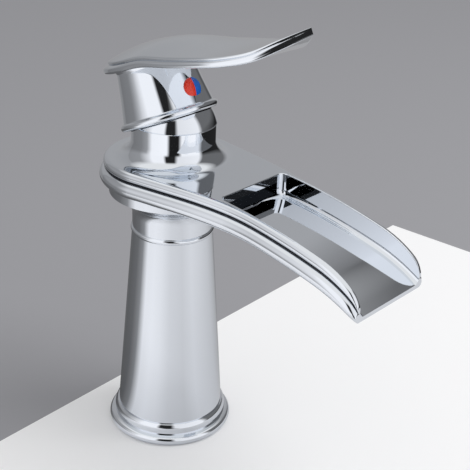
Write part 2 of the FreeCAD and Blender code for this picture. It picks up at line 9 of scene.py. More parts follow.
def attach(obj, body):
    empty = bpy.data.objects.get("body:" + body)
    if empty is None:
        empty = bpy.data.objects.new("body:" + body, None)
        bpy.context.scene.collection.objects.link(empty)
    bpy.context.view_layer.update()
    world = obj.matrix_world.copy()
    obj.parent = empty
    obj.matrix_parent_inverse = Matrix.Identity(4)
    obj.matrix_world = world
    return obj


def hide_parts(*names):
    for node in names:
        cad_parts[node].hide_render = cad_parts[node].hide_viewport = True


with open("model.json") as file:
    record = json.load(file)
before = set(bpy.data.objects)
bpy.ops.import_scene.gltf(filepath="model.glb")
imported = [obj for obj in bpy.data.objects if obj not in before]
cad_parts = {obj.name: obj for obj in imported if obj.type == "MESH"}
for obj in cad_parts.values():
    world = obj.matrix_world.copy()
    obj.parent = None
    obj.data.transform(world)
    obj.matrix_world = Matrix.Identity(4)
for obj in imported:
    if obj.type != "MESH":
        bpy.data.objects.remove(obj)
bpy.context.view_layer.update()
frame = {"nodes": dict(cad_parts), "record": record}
mm = 0.001
tol = 0.01  # mm, closer than this is the same place
loose = 0.05  # mm, the same for heights on the spout's curved lines
near = tol * mm
print("frame loaded:", len(frame["nodes"]), "nodes")


def deselectAll():
    if bpy.context.object and bpy.context.object.mode != "OBJECT":
        bpy.ops.object.mode_set(mode="OBJECT")
    bpy.ops.object.select_all(action="DESELECT")


def makeActive(piece):
    deselectAll()
    piece.select_set(True)
    bpy.context.view_layer.objects.active = piece


def pick(test, kind="VERT"):  # selects the parts of the edited mesh that pass the test
    bpy.ops.mesh.select_mode(type=kind)
    bpy.ops.mesh.select_all(action="DESELECT")
    mesh = bmesh.from_edit_mesh(bpy.context.object.data)
    for item in {"VERT": mesh.verts, "EDGE": mesh.edges, "FACE": mesh.faces}[kind]:
        if test(item):
            item.select_set(True)
    mesh.select_flush_mode()
    bmesh.update_edit_mesh(bpy.context.object.data)


def startPoint(name, point):  # one vertex in edit mode, ready to be drawn on
    deselectAll()
    bpy.ops.mesh.primitive_plane_add(size=0.01, location=(0, 0, 0))
    piece = bpy.context.object
    piece.name = piece.data.name = name
    bpy.ops.object.mode_set(mode="EDIT")
    bpy.ops.mesh.select_mode(type="VERT")
    bpy.ops.mesh.select_all(action="SELECT")
    bpy.ops.mesh.merge(type="CENTER")
    bpy.ops.transform.translate(value=point)
    return piece


def drawLine(points):  # draws on from the selected vertex, points in millimetres
    here = points[0]
    for there in points[1:]:
        step = (Vector(there) - Vector(here)) * mm
        bpy.ops.mesh.extrude_region_move(TRANSFORM_OT_translate={"value": step})
        here = there


def arcPoints(start, middle, end, turn=5.0):  # points after start on the arc through three points
    (ax, az), (bx, bz), (cx, cz) = start, middle, end
    d = 2 * (ax * (bz - cz) + bx * (cz - az) + cx * (az - bz))
    a2, b2, c2 = ax * ax + az * az, bx * bx + bz * bz, cx * cx + cz * cz
    ux = (a2 * (bz - cz) + b2 * (cz - az) + c2 * (az - bz)) / d
    uz = (a2 * (cx - bx) + b2 * (ax - cx) + c2 * (bx - ax)) / d
    first, last = math.atan2(az - uz, ax - ux), math.atan2(cz - uz, cx - ux)
    radius = math.hypot(ax - ux, az - uz)
    sweep = (last - first) % math.tau
    if ((math.atan2(bz - uz, bx - ux) - first) % math.tau) > sweep:
        sweep -= math.tau
    count = max(2, math.ceil(abs(math.degrees(sweep)) / turn))
    angles = [first + sweep * i / count for i in range(1, count + 1)]
    return [(ux + radius * math.cos(t), uz + radius * math.sin(t)) for t in angles]


# Spins a profile of (radius, height) round the Z axis. A pair of pairs is an arc's middle and end,
# and half, 1 or -1, keeps to one side.
def turned(name, start, *steps, parts=120, half=0):
    points = [start]
    for step in steps:
        points += arcPoints(points[-1], *step) if isinstance(step[0], tuple) else [step]
    piece = startPoint(name, (start[0] * mm, 0, start[1] * mm))
    drawLine([(r, 0, z) for r, z in points])
    bpy.ops.mesh.select_all(action="SELECT")
    turn = -half * math.pi if half else math.tau
    bpy.ops.mesh.spin(steps=parts, angle=turn, center=(0, 0, 0), axis=(0, 0, 1))
    closeUp()
    if half:
        fillOpening()
    bpy.ops.object.mode_set(mode="OBJECT")
    return piece


def closeUp():
    bpy.ops.mesh.select_all(action="SELECT")
    bpy.ops.mesh.remove_doubles(threshold=near)
    bpy.ops.mesh.normals_make_consistent(inside=False)


def fillOpening():
    pick(lambda e: e.is_boundary, "EDGE")
    bpy.ops.mesh.edge_face_add()
    closeUp()


def smoothOff(piece, angle=35):  # smooth surfaces, crisp edges, flats kept flat
    makeActive(piece)
    bpy.ops.object.shade_smooth_by_angle(angle=math.radians(angle))
    weighted = piece.modifiers.new("flats", "WEIGHTED_NORMAL")
    weighted.keep_sharp = True
    bpy.ops.object.modifier_apply(modifier=weighted.name)


def joinInto(piece, *others):
    makeActive(piece)
    for other in others:
        other.select_set(True)
    bpy.ops.object.join()
    return piece


def hermite(table, x, firstSlope, lastSlope):  # smooth curve through the table's points
    slopes = [firstSlope]
    for a, b in zip(table, table[2:]):
        slopes.append((b[1] - a[1]) / (b[0] - a[0]))
    slopes.append(lastSlope)
    x = min(max(x, table[0][0]), table[-1][0])
    for i, (a, b) in enumerate(zip(table, table[1:])):
        if x <= b[0]:
            h = b[0] - a[0]
            t = (x - a[0]) / h
            keep, give = 2 * t**3 - 3 * t**2 + 1, 3 * t**2 - 2 * t**3
            bend = (t**3 - 2 * t**2 + t) * h * slopes[i] + (t**3 - t**2) * h * slopes[i + 1]
            return keep * a[1] + give * b[1] + bend


def toLinear(hexText):
    channels = [int(hexText[i : i + 2], 16) / 255 for i in (0, 2, 4)]
    return (*[c / 12.92 if c <= 0.04045 else ((c + 0.055) / 1.055) ** 2.4 for c in channels], 1.0)


def addNode(tree, kind, settings=None, inputs=None):
    node = tree.nodes.new(kind)
    for key, value in (settings or {}).items():
        setattr(node, key, value)
    for key, value in (inputs or {}).items():
        if isinstance(value, bpy.types.NodeSocket):
            tree.links.new(value, node.inputs[key])
        else:
            node.inputs[key].default_value = value
    return node


def newMaterial(name, look):  # the shader with what is the same all over, and the pattern coordinates
    material = bpy.data.materials.new(name)
    material.use_nodes = True
    tree = material.node_tree
    shader = tree.nodes["Principled BSDF"]
    shader.inputs["Base Color"].default_value = toLinear(look["colour"])
    shader.inputs["Metallic"].default_value = look["metallic"]
    shader.inputs["Roughness"].default_value = look["roughness"]
    place = addNode(tree, "ShaderNodeTexCoord").outputs["Object"]
    return material, tree, shader, place


def tint(tree, shader, place, look, size, detail=2.0):  # the colour drifts towards its shade
    spots = {"Vector": place, "Scale": 1 / (size * mm), "Detail": detail}
    cloud = addNode(tree, "ShaderNodeTexNoise", {}, spots)
    colours = {0: cloud.outputs["Fac"], 6: toLinear(look["colour"]), 7: toLinear(look["shade"])}
    mix = addNode(tree, "ShaderNodeMix", {"data_type": "RGBA"}, colours)
    tree.links.new(mix.outputs[2], shader.inputs["Base Color"])


def relief(tree, shader, place, size, depth, detail=2.0, strength=1.0):  # fine bumps, in mm
    spots = {"Vector": place, "Scale": 1 / (size * mm), "Detail": detail}
    grain = addNode(tree, "ShaderNodeTexNoise", {}, spots)
    height = {"Height": grain.outputs["Fac"], "Distance": depth * mm, "Strength": strength}
    bump = addNode(tree, "ShaderNodeBump", {}, height)
    tree.links.new(bump.outputs["Normal"], shader.inputs["Normal"])


# Polished chrome: nickel-chrome plate on a hand-polished casting. A mirror, with a faint waviness
# left by the polishing mop and a little haze where hands have been.
chromeLook = {
    "colour": "E7EBF0",
    "metallic": 1.0,
    "roughness": 0.03,
    "hazeSize": 14.0,  # mm
    "hazeFrom": 0.4,
    "hazeTo": 0.75,
    "hazeRough": 0.045,
    "waveSize": 30.0,  # mm
    "waveDepth": 0.012,  # mm
}


def chromeMaterial():
    look = chromeLook
    material, tree, shader, place = newMaterial("polishedChrome", look)
    spots = {"Vector": place, "Scale": 1 / (look["hazeSize"] * mm), "Detail": 4.0, "Roughness": 0.6}
    haze = addNode(tree, "ShaderNodeTexNoise", {}, spots)
    span = {
        "Value": haze.outputs["Fac"],
        "From Min": look["hazeFrom"],
        "From Max": look["hazeTo"],
        "To Min": look["roughness"],
        "To Max": look["hazeRough"],
    }
    spread = addNode(tree, "ShaderNodeMapRange", {}, span)
    tree.links.new(spread.outputs["Result"], shader.inputs["Roughness"])
    relief(tree, shader, place, look["waveSize"], look["waveDepth"], detail=1.0)
    return material


# The same plate down in a narrow groove: rougher, as the polishing mop doesn't reach it, and darker in
# colour, which is painted shade for the recess.
roughGrooveShadeLook = {
    # painted shade: these greys are darker than the polished plate's own colour
    "colour": "9C9EA2",
    "shade": "85878B",
    "metallic": 1.0,
    "roughness": 0.3,
    "speck": 1.5,  # mm
}


def roughGrooveShadeMaterial():
    look = roughGrooveShadeLook
    material, tree, shader, place = newMaterial("roughGroovePaintedShade", look)
    tint(tree, shader, place, look, look["speck"])
    return material


# Nitrile rubber: moulded and matt black, with a fine pebble from the mould.
rubberLook = {
    "colour": "1C1C1E",
    "metallic": 0.0,
    "roughness": 0.65,
    "pebble": 0.5,  # mm
    "pebbleDepth": 0.05,  # mm
}


def rubberMaterial():
    look = rubberLook
    material, tree, shader, place = newMaterial("nitrileRubber", look)
    relief(tree, shader, place, look["pebble"], look["pebbleDepth"], strength=0.6)
    return material


# Acetal: moulded white engineering plastic of the cartridge, slightly waxy, with a faint flow mottle.
acetalLook = {
    "colour": "E6E5E0",
    "shade": "D8D7D1",
    "metallic": 0.0,
    "roughness": 0.38,
    "mottle": 3.0,  # mm
}


def acetalMaterial():
    look = acetalLook
    material, tree, shader, place = newMaterial("mouldedAcetal", look)
    tint(tree, shader, place, look, look["mottle"], detail=3.0)
    return material


# Alumina: lapped ceramic discs, ivory white and nearly as flat as glass, with a very fine grain.
aluminaLook = {
    "colour": "F1EDE2",
    "shade": "E6E0D2",
    "metallic": 0.0,
    "roughness": 0.16,
    "grain": 0.8,  # mm
}


def aluminaMaterial():
    look = aluminaLook
    material, tree, shader, place = newMaterial("lappedAlumina", look)
    tint(tree, shader, place, look, look["grain"])
    return material


# Stainless steel: turned or pressed, with fine level tool lines one above the other.
steelLook = {
    "colour": "B9BBBD",
    "metallic": 1.0,
    "roughness": 0.28,
    "lines": 0.6,  # mm
    "lineDepth": 0.01,  # mm
    "stretch": (0.05, 0.05, 1.0),
}


def steelMaterial():
    look = steelLook
    material, tree, shader, place = newMaterial("turnedStainless", look)
    flat = addNode(tree, "ShaderNodeMapping", {}, {"Vector": place, "Scale": look["stretch"]})
    relief(tree, shader, flat.outputs["Vector"], look["lines"], look["lineDepth"], strength=0.8)
    return material


# Brass: unplated and machined, warm yellow, a little darker where it has tarnished.
brassLook = {
    "colour": "C9A45C",
    "shade": "A8823F",
    "metallic": 1.0,
    "roughness": 0.26,
    "tarnish": 6.0,  # mm
}


def brassMaterial():
    look = brassLook
    material, tree, shader, place = newMaterial("machinedBrass", look)
    tint(tree, shader, place, look, look["tarnish"], detail=5.0)
    return material


# Enamel: glossy coloured resin poured into the index plug, with a soft depth to its colour.
enamelLook = {"metallic": 0.0, "roughness": 0.2, "cloud": 2.0, "coat": 0.1}  # cloud in mm
redLook = {"colour": "FF4226", "shade": "F6361C", **enamelLook}
blueLook = {"colour": "1878E6", "shade": "1566CC", **enamelLook}


def enamelMaterial(name, look):
    material, tree, shader, place = newMaterial(name, look)
    tint(tree, shader, place, look, look["cloud"])
    shader.inputs["Coat Weight"].default_value = look["coat"]
    return material


finishes = {
    "polished_chrome": chromeMaterial(),
    "seal_rubber": rubberMaterial(),
    "cartridge_plastic": acetalMaterial(),
    "ceramic": aluminaMaterial(),
    "steel": steelMaterial(),
    "plain_brass": brassMaterial(),
    "index_red": enamelMaterial("redEnamel", redLook),
    "index_blue": enamelMaterial("blueEnamel", blueLook),
}
print("materials made:", len(finishes))


def dress(piece, slot, body, *nodes):  # finish, body and the CAD nodes that the piece stands for
    piece.data.materials.clear()
    piece.data.materials.append(finishes[slot])
    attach(piece, body)
    if nodes:
        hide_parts(*nodes)


flange = {
    "bore": 26.1,
    "lip": 26.5,
    "sealOuter": 29.1,
    "sealDepth": 1.5,
    "foot": 30.8,
    "bead": 32.0,
    "beadHeight": 4.4,
    "neck": 29.1,
    "neckFoot": 4.7,
    "neckHeight": 6.6,
    "cove": (28.85, 9.1),
    "top": 27.8,
    "height": 10.7,
}


def makeFlange():
    f = flange
    piece = turned(
        "baseFlange",
        (f["bore"], 0.0),
        (f["lip"], 0.0),
        (f["lip"], f["sealDepth"]),
        (f["sealOuter"], f["sealDepth"]),
        (f["sealOuter"], 0.0),
        (f["foot"], 0.0),
        ((f["bead"], f["beadHeight"] / 2), (f["foot"], f["beadHeight"])),
        (f["neck"], f["neckFoot"]),
        (f["neck"], f["neckHeight"]),
        (f["cove"], (f["top"], f["height"])),
        (f["bore"], f["height"]),
        (f["bore"], 0.0),
    )
    smoothOff(piece)
    dress(piece, "polished_chrome", "body", "base_flange")


column = {
    "spigot": 26.0,
    "foot": 27.2,
    "footZ": 10.7,
    "top": 20.2,
    "topZ": 109.6,
    "inner": 23.0,
    "innerFootZ": 13.7,
    "innerTop": 17.7,
    "seatZ": 98.0,
    "webLow": 1.5,
    "webHigh": 8.5,
    "hoseWay": (5.5, 0.0, 13.0),  # x, y and radius of the holes in the web
    "inletWay": (-4.0, 8.5, 5.1),
    "studWay": (-13.5, 0.0, 3.0),
    "cut": (0.0, 10.0),  # foot and top of the tools that cut them
}


def cutWith(piece, tool):  # takes the tool's shape away from the piece
    makeActive(piece)
    cut = piece.modifiers.new("cut", "BOOLEAN")
    cut.operation = "DIFFERENCE"
    cut.solver = "EXACT"
    cut.object = tool
    bpy.ops.object.modifier_apply(modifier=cut.name)
    bpy.data.objects.remove(tool)


def roundTool(x, y, radius, low, high):
    deselectAll()
    place = (x * mm, y * mm, (low + high) / 2 * mm)
    depth = (high - low) * mm
    bpy.ops.mesh.primitive_cylinder_add(vertices=64, radius=radius * mm, depth=depth, location=place)
    return bpy.context.object


def makeColumn():
    c = column
    piece = turned(
        "columnTube",
        (0.0, c["webLow"]),
        (c["spigot"], c["webLow"]),
        (c["spigot"], c["footZ"]),
        (c["foot"], c["footZ"]),
        (c["top"], c["topZ"]),
        (c["innerTop"], c["topZ"]),
        (c["innerTop"], c["seatZ"]),
        (c["inner"], c["innerFootZ"]),
        (c["inner"], c["webHigh"]),
        (0.0, c["webHigh"]),
    )
    for x, y, radius in (c["hoseWay"], c["inletWay"], c["studWay"]):
        for side in (1, -1) if y else (1,):
            cutWith(piece, roundTool(x, y * side, radius, *c["cut"]))
    smoothOff(piece)
    dress(piece, "polished_chrome", "body", "column")


trim = {"inner": 17.7, "outer": 20.2, "bulge": 20.8, "low": 109.6, "high": 112.3}


def makeTrim():
    t = trim
    piece = turned(
        "trimRing",
        (t["inner"], t["low"]),
        (t["outer"], t["low"]),
        ((t["bulge"], (t["low"] + t["high"]) / 2), (t["outer"], t["high"])),
        (t["inner"], t["high"]),
        (t["inner"], t["low"]),
    )
    smoothOff(piece)
    dress(piece, "polished_chrome", "body", "trim_ring")


spout = {
    "plateZ": 149.3,
    "depth": 13.0,
    "halfWidth": 22.0,
    "backR": 31.0,
    "sideAngle": 8.5,
    "blendR": 150.0,
    "bendStart": 30.0,
    "bendR": 320.0,
    "bendEnd": 108.0,
    "roundR": 51.0,
    "roundAngle": 35.0,
    "tipR": 13.0,
    "floorR": 77.0,
    "floorAngle": 28.0,
    "floorDrop": 11.0,
    "troughStart": 50.5,
    "cornerRound": 3.2,
    "floorRound": 2.8,
    "rimRound": 0.5,
    "rimSharp": 1.0,  # radians, the rim's edges turn by more
    "slotHalf": 18.4,
    "slotTop": 4.2,
    "slotFoot": 0.6,
    "slotBack": 14.0,  # how far the slot's tool reaches behind the wall
    "slotFront": 1.0,
    "backParts": 60,
    "stations": (
        [0, 1.5, 3, 4.6, 8, 12, 16, 20, 25, 30, 35, 40, 45, 50.5, 57, 60]
        + list(range(64, 109, 4))
        + [111, 114, 117, 119.5, 121.5, 123.3, 124.8, 126, 127.2, 128.2, 129, 129.6, 130]
    ),
    # a bead's centre (out from the half width, up from the rim), radius, first and last angle, steps
    "upperBead": (0.4, -2.5, 2.5, 90, -36.87, 20),
    "lowerBead": (0.8, -9.0, 4.0, 66.4, -90, 24),
    "groove": [(0.9, -4.55), (0.6, -4.7)],
    "shadedGroove": (0.3, 2.3, -5.25, -4.05),  # where the groove's rougher plate with painted shade is: out from, to, up from, to
    # (radius, height) round the column's axis, a pair of pairs is an arc
    "neck": [
        (0.0, 100.0), (17.6, 100.0), (17.6, 112.3), (20.0, 112.3), (20.0, 119.0),
        ((21.166, 123.51), (24.372, 126.887)), (31.3, 131.2), (31.3, 137.3), (0.0, 137.3),
    ],
    "bell": [
        (17.7, 148.3), (29.2, 148.3), (29.2, 149.3), ((23.19, 151.79), (20.7, 157.8)),
        (20.7, 166.2), (20.4, 166.5), (17.7, 166.5), (17.7, 148.3),
    ],
    "seat": (0.0, 0.0, 17.7, 139.5, 150.3),  # the cartridge's bore: x, y, radius, foot and top
}


def arcEnd(start, radius, heading, angle):  # the end of an arc that turns down from heading to angle
    x = start[0] + radius * (math.sin(angle) - math.sin(heading))
    return x, start[1] - radius * (math.cos(heading) - math.cos(angle))


def arcHeight(x, start, radius, heading):
    turn = math.asin(min(1.0, math.sin(heading) + (x - start[0]) / radius))
    return start[1] - radius * (math.cos(heading) - math.cos(turn))


def bendAngle():
    return math.asin((spout["bendEnd"] - spout["bendStart"]) / spout["bendR"])


def lineHeight(x, drop=0.0):  # height at x of the rim, or of a line that runs drop below it
    s = spout
    start = (s["bendStart"], s["plateZ"] - drop)
    if x <= s["bendStart"]:
        return start[1]
    if x <= s["bendEnd"]:
        return arcHeight(x, start, s["bendR"], 0.0)
    radius, angle = (s["floorR"], s["floorAngle"]) if drop else (s["roundR"], s["roundAngle"])
    bend = arcEnd(start, s["bendR"], 0.0, bendAngle())
    knee = arcEnd(bend, radius, bendAngle(), math.radians(angle))
    if x <= knee[0]:
        return arcHeight(x, bend, radius, bendAngle())
    if drop:
        return knee[1] - (x - knee[0]) * math.tan(math.radians(angle))
    return arcHeight(x, knee, s["tipR"], math.radians(angle))


def halfWidthAt(x):
    s = spout
    a = math.radians(s["sideAngle"])
    sine, cosine = math.sin(a), math.cos(a)
    slantX, slantY = s["backR"] * sine, s["backR"] * cosine
    blendY = s["halfWidth"] + s["blendR"] * (1 - cosine)
    blendX = slantX + (slantY - blendY) / math.tan(a)
    straightX = blendX + s["blendR"] * sine
    if x < slantX:
        return math.sqrt(s["backR"] ** 2 - x**2)
    if x > straightX:
        return s["halfWidth"]
    if x > blendX:
        return s["halfWidth"] + s["blendR"] - math.sqrt(s["blendR"] ** 2 - (straightX - x) ** 2)
    return slantY - (x - slantX) * math.tan(a)


def beadArc(out, down, radius, first, last, count):
    turns = stepsBetween(first, last, count)
    return [(out + radius * math.cos(t), down + radius * math.sin(t)) for t in turns]


def sideProfile():  # bead, groove and bead, out from the half width and up from the rim
    return beadArc(*spout["upperBead"]) + spout["groove"] + beadArc(*spout["lowerBead"])


def stepsBetween(first, last, count):
    return [math.radians(first + (last - first) * i / count) for i in range(count + 1)]


def makeSpoutShell():
    s = spout
    wide = halfWidthAt(0.0)
    side = [(0.0, 0.0), (s["halfWidth"], 0.0)] + [(wide + out, down) for out, down in sideProfile()]
    loop = side + [(0.0, -s["depth"])] + [(-y, z) for y, z in reversed(side)]
    piece = startPoint("spoutBody", (0, 0, s["plateZ"] * mm))
    drawLine([(0.0, y, s["plateZ"] + z) for y, z in loop])
    closeUp()
    size = 1.0
    bpy.ops.mesh.select_all(action="SELECT")
    for here, there in zip(s["stations"], s["stations"][1:]):
        rim, nextRim = lineHeight(here), lineHeight(there)
        nextWide = halfWidthAt(there)
        nextSize = (nextRim - lineHeight(there, s["depth"])) / s["depth"]
        step = ((there - here) * mm, 0, (nextRim - rim) * mm)
        bpy.ops.mesh.extrude_region_move(TRANSFORM_OT_translate={"value": step})
        k = nextSize / size
        onStation = lambda v: abs(v.co.x - there * mm) < near
        for sign in (1, -1):
            pick(lambda v: onStation(v) and v.co.y * sign > (s["halfWidth"] + loose) * mm)
            centre = (there * mm, sign * wide * mm, nextRim * mm)
            bpy.ops.transform.resize(value=(1, k, k), center_override=centre)
            bpy.ops.transform.translate(value=(0, sign * (nextWide - wide) * mm, 0))
        pick(lambda v: onStation(v) and abs(v.co.y) < near and v.co.z < (nextRim - loose) * mm)
        bpy.ops.transform.resize(value=(1, 1, k), center_override=(there * mm, 0, nextRim * mm))
        pick(onStation)
        wide, size = nextWide, nextSize
    pick(lambda v: abs(v.co.x) < near and v.co.y > -near)
    bpy.ops.mesh.spin(steps=s["backParts"], angle=-math.pi, center=(0, 0, 0), axis=(0, 0, 1))
    closeUp()
    return piece


def isChannelTop(face):  # by its middle, so with wide margins
    middle = face.calc_center_median() / mm
    inside = middle.x > spout["troughStart"] and abs(middle.y) < spout["halfWidth"] - 0.1
    return inside and middle.z > lineHeight(middle.x) - 1.0


def sinkTrough():
    s = spout
    tip = s["stations"][-1]
    pick(isChannelTop, "FACE")
    bpy.ops.mesh.extrude_region_move(TRANSFORM_OT_translate={"value": (0, 0, -s["floorDrop"] * mm)})
    for x in s["stations"]:
        if x <= s["bendEnd"]:
            continue
        sunk = lineHeight(x) - s["floorDrop"]
        onFloor = lambda v: abs(v.co.z - sunk * mm) < near and abs(v.co.y) < s["halfWidth"] * mm + near
        pick(lambda v: abs(v.co.x - x * mm) < near and onFloor(v))
        bpy.ops.transform.translate(value=(0, 0, (lineHeight(x, s["floorDrop"]) - sunk) * mm))
    pick(lambda f: f.calc_center_median().x > (tip - loose) * mm, "FACE")
    bpy.ops.mesh.delete(type="FACE")
    fillOpening()


def roundTrough():
    s = spout
    start, half = s["troughStart"], s["halfWidth"]
    cornerEnd = start + s["cornerRound"]

    def backCorner(e):
        a, b = (v.co / mm for v in e.verts)
        upright = abs(a.x - start) < tol and abs(b.x - start) < tol and abs(a.y - b.y) < tol
        return upright and abs(abs(a.y) - half) < tol and abs(a.z - b.z) > s["floorDrop"] / 2

    pick(backCorner, "EDGE")
    bpy.ops.mesh.bevel(offset=s["cornerRound"] * mm, segments=8, affect="EDGES")

    def floorEdge(e):
        a, b = (v.co / mm for v in e.verts)
        low = all(abs(p.z - lineHeight(p.x, s["floorDrop"])) < loose for p in (a, b))
        edge = all(abs(abs(p.y) - half) < tol or p.x < cornerEnd + tol for p in (a, b))
        across = abs(a.x - b.x) < tol
        return low and edge and not across and min(a.x, b.x) > start - tol

    pick(floorEdge, "EDGE")
    bpy.ops.mesh.bevel(offset=s["floorRound"] * mm, segments=8, affect="EDGES")

    def rimEdge(e):
        a, b = (v.co / mm for v in e.verts)
        high = all(abs(p.z - lineHeight(p.x)) < loose for p in (a, b))
        edge = all(abs(abs(p.y) - half) < 2 * tol or p.x < cornerEnd + tol for p in (a, b))
        inner = all(p.x > start - tol and abs(p.y) < half + 2 * tol for p in (a, b))
        sharp = len(e.link_faces) == 2 and e.calc_face_angle(0) > s["rimSharp"]
        return high and edge and inner and sharp

    pick(rimEdge, "EDGE")
    bpy.ops.mesh.bevel(offset=s["rimRound"] * mm, segments=4, affect="EDGES")
    bpy.ops.object.mode_set(mode="OBJECT")


def boxTool(low, high):
    deselectAll()
    middle = [(a + b) / 2 * mm for a, b in zip(low, high)]
    bpy.ops.mesh.primitive_cube_add(size=1.0, location=middle)
    piece = bpy.context.object
    piece.dimensions = [(b - a) * mm for a, b in zip(low, high)]
    bpy.ops.object.transform_apply(location=False, rotation=False, scale=True)
    return piece


# the faces that get the rougher plate with painted shade
def inGroove(face):  # between the two beads of the spout's side
    x, y, z = face.calc_center_median() / mm
    out = abs(y) - halfWidthAt(x) if x > 0 else math.hypot(x, y) - spout["backR"]
    down = (z - lineHeight(x)) * spout["depth"] / (lineHeight(x) - lineHeight(x, spout["depth"]))
    nearest, farthest, deepest, highest = spout["shadedGroove"]
    return nearest < out < farthest and deepest < down < highest


def makeSpout():
    s = spout
    piece = makeSpoutShell()
    sinkTrough()
    roundTrough()
    wall = lineHeight(s["troughStart"])
    low = (s["troughStart"] - s["slotBack"], -s["slotHalf"], wall - s["floorDrop"] + s["slotFoot"])
    high = (s["troughStart"] + s["slotFront"], s["slotHalf"], wall - s["slotTop"])
    cutWith(piece, boxTool(low, high))
    cutWith(piece, roundTool(*s["seat"]))
    smoothOff(piece)
    neck = turned("neck", *s["neck"])
    smoothOff(neck)
    bell = turned("bell", *s["bell"])
    smoothOff(bell)
    joinInto(piece, neck, bell)
    dress(piece, "polished_chrome", "body", "spout_body")
    # the groove's faces get the rougher plate, its darker colour a painted shade
    piece.data.materials.append(roughGrooveShadeMaterial())
    makeActive(piece)
    piece.active_material_index = 1
    bpy.ops.object.mode_set(mode="EDIT")
    pick(inGroove, "FACE")
    bpy.ops.object.material_slot_assign()
    bpy.ops.object.mode_set(mode="OBJECT")


dome = {
    "pivotZ": 161.8,
    "radius": 21.227,
    "wall": 1.5,
    "footZ": 166.5,
    "footEdge": 0.3,
    "mouth": 16.1,
    "rim": 15.3,
    "middle": 27.0,  # degrees up the ball, a place on its arcs
}


def makeDome():
    d = dome
    inner = d["radius"] - d["wall"]
    footDrop = d["footZ"] - d["pivotZ"]
    middle = math.radians(d["middle"])
    reach = lambda ball, across: math.sqrt(ball**2 - across**2)
    onBall = lambda ball: (ball * math.cos(middle), d["pivotZ"] + ball * math.sin(middle))
    mouthZ = d["pivotZ"] + reach(d["radius"], d["mouth"])
    foot = reach(d["radius"], footDrop)
    piece = turned(
        "domeCap",
        (foot - d["footEdge"], d["footZ"]),
        (foot, d["footZ"] + d["footEdge"]),
        (onBall(d["radius"]), (d["mouth"], mouthZ)),
        (d["rim"], mouthZ),
        (d["rim"], d["pivotZ"] + reach(inner, d["rim"])),
        (onBall(inner), (reach(inner, footDrop), d["footZ"])),
        (foot - d["footEdge"], d["footZ"]),
    )
    smoothOff(piece)
    dress(piece, "polished_chrome", "body", "dome_cap")


handle = {
    "raise": 25.0,
    "pivotZ": 161.8,
    "ball": 22.027,
    "roof": 50.0,  # degrees up the ball, a place on the hollow under the hub
    "hub": [
        (22.1, 8.0), (22.1, 5.4), (22.6, 5.4), ((24.2, 7.2), (22.6, 9.0)), (22.3, 9.5),
        ((20.3, 20.2), (18.7, 31.0)), ((19.75, 34.5), (21.9, 36.0)), (21.9, 36.8), (0.0, 36.8),
    ],
    "backX": -20.9,
    "wideX": 12.5,
    "tipX": 98.7,
    "half": 26.0,
    "frontSteps": 44,
    "backSteps": 56,
    # tables along x, each with its first and last slope
    "leaf": [
        (12.5, 26.0), (36.6, 25.5), (56.5, 24.0), (66.4, 21.6), (77.2, 16.9), (87.9, 9.6), (98.7, 0.0),
    ],
    "leafSlopes": (0.0, -0.92),
    "edge": [
        (-26.9, 35.0), (-4.2, 37.0), (17.4, 36.8), (36.5, 32.1), (56.8, 27.2),
        (66.4, 25.0), (77.2, 23.7), (87.9, 24.9), (104.7, 26.9),
    ],
    "edgeSlopes": (0.1, 0.12),
    "crown": [
        (-26.9, 3.6), (-4.2, 6.0), (17.4, 4.8), (36.5, 2.9), (56.8, 1.0),
        (66.4, 0.95), (77.2, 0.8), (87.9, 0.5), (104.7, 0.35),
    ],
    "crownSlopes": (0.13, -0.01),
    "thick": [(-26.9, 1.0), (36.5, 1.0), (56.8, 0.9), (77.2, 0.9), (87.9, 0.85), (104.7, 0.6)],
    "thickSlopes": (0.0, 0.0),
    # rings round the lever: outward at the sides, at the tip and at the back, depth under the top
    "rim": (0.0, 0.0, 0.0, 0.85),
    "top": [
        (-0.06, 0.0, -0.06, 0.5), (-0.24, -0.05, -0.24, 0.2),
        (-0.5, -0.1, -0.5, 0.05), (-0.8, -0.2, -0.8, 0.0),
    ],
    "side": [
        (-0.1, 0.0, -0.1, 1.1), (-0.45, 0.0, -0.4, 1.35), (-0.45, 0.0, 1.5, 1.55), (0.35, 0.0, 3.0, 1.62),
        (0.8, 0.0, 3.6, 1.85), (1.05, 0.0, 3.95, 2.3), (1.1, 0.0, 4.0, 2.9), (1.1, 0.0, 4.0, 3.5),
        (0.95, 0.0, 3.8, 4.1), (0.6, 0.0, 3.4, 4.6), (0.1, -0.1, 2.8, 4.9), (-0.5, -0.3, 2.0, 5.0),
    ],
    "inward": [-1.6, -3.0, -5.0, -7.5, -10.0, -12.5, -15.0, -17.5, -20.0, -22.5, -24.5, -26.0],
}


def leverHeight(x, y):
    h = handle
    crown = hermite(h["crown"], x, *h["crownSlopes"])
    return hermite(h["edge"], x, *h["edgeSlopes"]) + crown * (1 - (y / h["half"]) ** 2)


def leafOutline():
    h = handle
    steps = h["frontSteps"]
    front = [h["wideX"] + (h["tipX"] - h["wideX"]) * i / steps for i in range(steps + 1)]
    side = [(x, hermite(h["leaf"], x, *h["leafSlopes"])) for x in reversed(front)]
    side[0] = (h["tipX"], 0.0)
    long = h["wideX"] - h["backX"]
    turns = stepsBetween(90, 270, h["backSteps"])
    back = [(h["wideX"] + long * math.cos(t), h["half"] * math.sin(t)) for t in turns]
    return side + back[1:-1] + [(x, -y) for x, y in reversed(side[1:])]


def offsetRing(ring, last):  # one more ring, drawn from the selected one
    h = handle
    low, lastLow = h["backX"] - ring[2], h["backX"] - last[2]
    long = (h["tipX"] + ring[1] - low) / (h["tipX"] + last[1] - lastLow)
    wide = (h["half"] + ring[0]) / (h["half"] + last[0])
    step = ((low - lastLow) * mm, 0, (last[3] - ring[3]) * mm)
    bpy.ops.mesh.extrude_region_move(TRANSFORM_OT_translate={"value": step})
    bpy.ops.transform.resize(value=(long, wide, 1), center_override=(low * mm, 0, 0))


